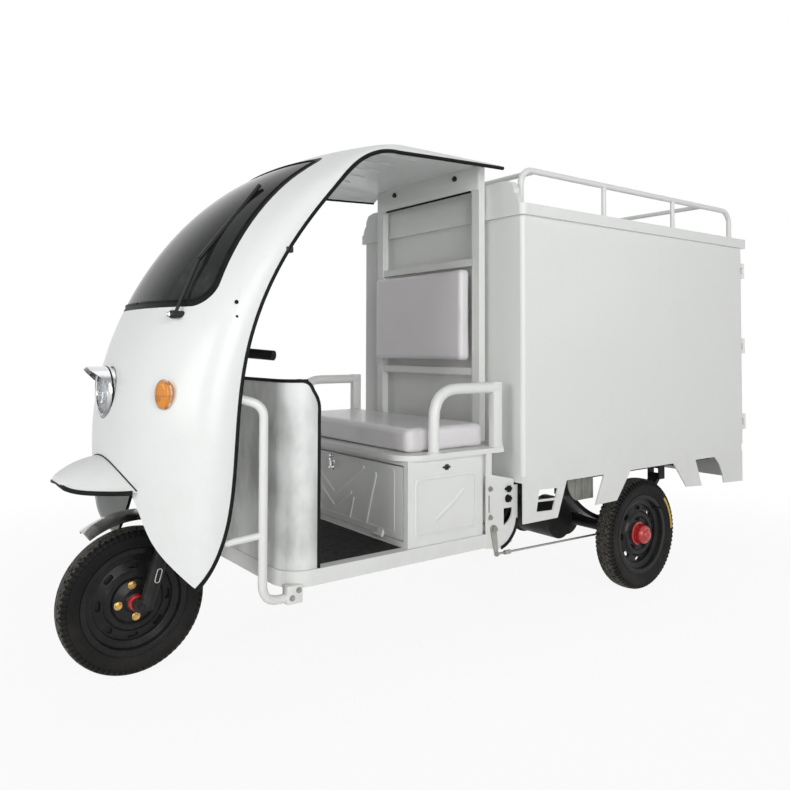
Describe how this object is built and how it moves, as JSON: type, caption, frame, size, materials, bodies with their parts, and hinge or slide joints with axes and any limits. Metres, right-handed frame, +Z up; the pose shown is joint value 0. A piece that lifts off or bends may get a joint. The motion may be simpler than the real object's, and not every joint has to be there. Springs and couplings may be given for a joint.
{
  "type": "electric cargo tricycle",
  "caption": "Electric cargo tricycle with a moulded open-sided cab and windscreen, bench seat on a battery box, closed rear cargo box with double doors and a roof rack.",
  "frame": {"origin": "on the ground, in the middle of the overall length and width", "axes": "+X to the vehicle's left, +Y towards the tail, +Z up"},
  "size_m": [1.06, 3.066, 1.742],
  "materials": {
    "shell_white": "gloss moulded plastic, white",
    "white_paint": "gloss white stoved paint on sheet steel",
    "tinted_glass": "dark tinted laminated glass",
    "black_rubber": "matt black rubber",
    "black_plastic": "matt black plastic",
    "chrome": "bright chrome",
    "clear_lens": "clear moulded lens",
    "amber_lens": "clear amber plastic",
    "red_lens": "clear red plastic",
    "red_plastic": "gloss red plastic",
    "black_paint": "satin black paint",
    "black_rim": "satin black enamel",
    "stainless": "polished stainless sheet",
    "zinc_steel": "zinc plated steel",
    "bare_steel": "chequered steel sheet",
    "dark_steel": "dark dusty paint",
    "tyre_rubber": "black tyre rubber",
    "grey_vinyl": "pale grey vinyl"
  },
  "bodies": {
    "chassis": {"backrest_cushion": "grey_vinyl", "backrest_frame": "white_paint", "battery_pack": "black_plastic", "box_floor": "bare_steel", "box_front_wall": "white_paint", "box_roof": "white_paint", "box_side_left": "white_paint", "box_side_right": "white_paint", "brake_rod_left": "zinc_steel", "brake_rod_right": "zinc_steel", "cab_shell": "shell_white", "chassis_frame": "black_paint", "drive_motor": "black_paint", "floor_frame": "white_paint", "floor_mat": "black_rubber", "guard_bar_left": "white_paint", "guard_bar_right": "white_paint", "headlight": "chrome", "headlight_lens": "clear_lens", "leaf_spring_left": "black_paint", "leaf_spring_right": "black_paint", "leg_shield": "shell_white", "rear_axle": "black_paint", "rear_bumper": "white_paint", "rear_mudguard_left": "dark_steel", "rear_mudguard_right": "dark_steel", "roof_rack": "white_paint", "seat_box": "white_paint", "seat_cushion": "grey_vinyl", "seat_tray": "white_paint", "side_bracket_left": "white_paint", "side_bracket_right": "white_paint", "side_skirt_left": "white_paint", "side_skirt_right": "white_paint", "tail_lamp_left": "red_lens", "tail_lamp_right": "red_lens", "turn_signal_left": "amber_lens", "turn_signal_right": "amber_lens", "upper_mudguard": "shell_white", "windscreen": "tinted_glass", "windscreen_seal": "black_rubber", "wiper": "black_plastic"},
    "steering": {"fork": "black_paint", "handlebar": "black_paint", "front_mudguard": "stainless", "instrument_pod": "black_plastic"},
    "front_wheel": {"front_tyre": "tyre_rubber", "front_rim": "black_rim", "wheel_cap_front": "red_plastic"},
    "rear_wheel_left": {"rear_tyre_left": "tyre_rubber", "rear_rim_left": "black_rim", "wheel_cap_left": "red_plastic"},
    "rear_wheel_right": {"rear_tyre_right": "tyre_rubber", "rear_rim_right": "black_rim", "wheel_cap_right": "red_plastic"},
    "door_left": {"rear_door_left": "white_paint"},
    "door_right": {"rear_door_right": "white_paint"},
    "seat_door": {"seat_box_door": "white_paint"}
  },
  "joints": [
    {"name": "steering", "type": "hinge", "parent": "chassis", "child": "steering", "pos_m": [0, -1.242, 0.2285], "axis": [0, 0.2756, 0.9613], "range_deg": [-30, 30]},
    {"name": "front_wheel_spin", "type": "hinge", "parent": "steering", "child": "front_wheel", "pos_m": [0, -1.297, 0.2285], "axis": [1, 0, 0], "continuous": true},
    {"name": "rear_wheel_left_spin", "type": "hinge", "parent": "chassis", "child": "rear_wheel_left", "pos_m": [0.448, 0.717, 0.234], "axis": [1, 0, 0], "continuous": true},
    {"name": "rear_wheel_right_spin", "type": "hinge", "parent": "chassis", "child": "rear_wheel_right", "pos_m": [-0.448, 0.717, 0.234], "axis": [1, 0, 0], "continuous": true},
    {"name": "rear_door_left_hinge", "type": "hinge", "parent": "chassis", "child": "door_left", "pos_m": [0.511, 1.516, 1.03], "axis": [0, 0, 1], "range_deg": [-110, 0]},
    {"name": "rear_door_right_hinge", "type": "hinge", "parent": "chassis", "child": "door_right", "pos_m": [-0.511, 1.516, 1.03], "axis": [0, 0, 1], "range_deg": [0, 110]},
    {"name": "seat_door_hinge", "type": "hinge", "parent": "chassis", "child": "seat_door", "pos_m": [0, -0.543, 0.381], "axis": [1, 0, 0], "range_deg": [0, 88]}
  ]
}
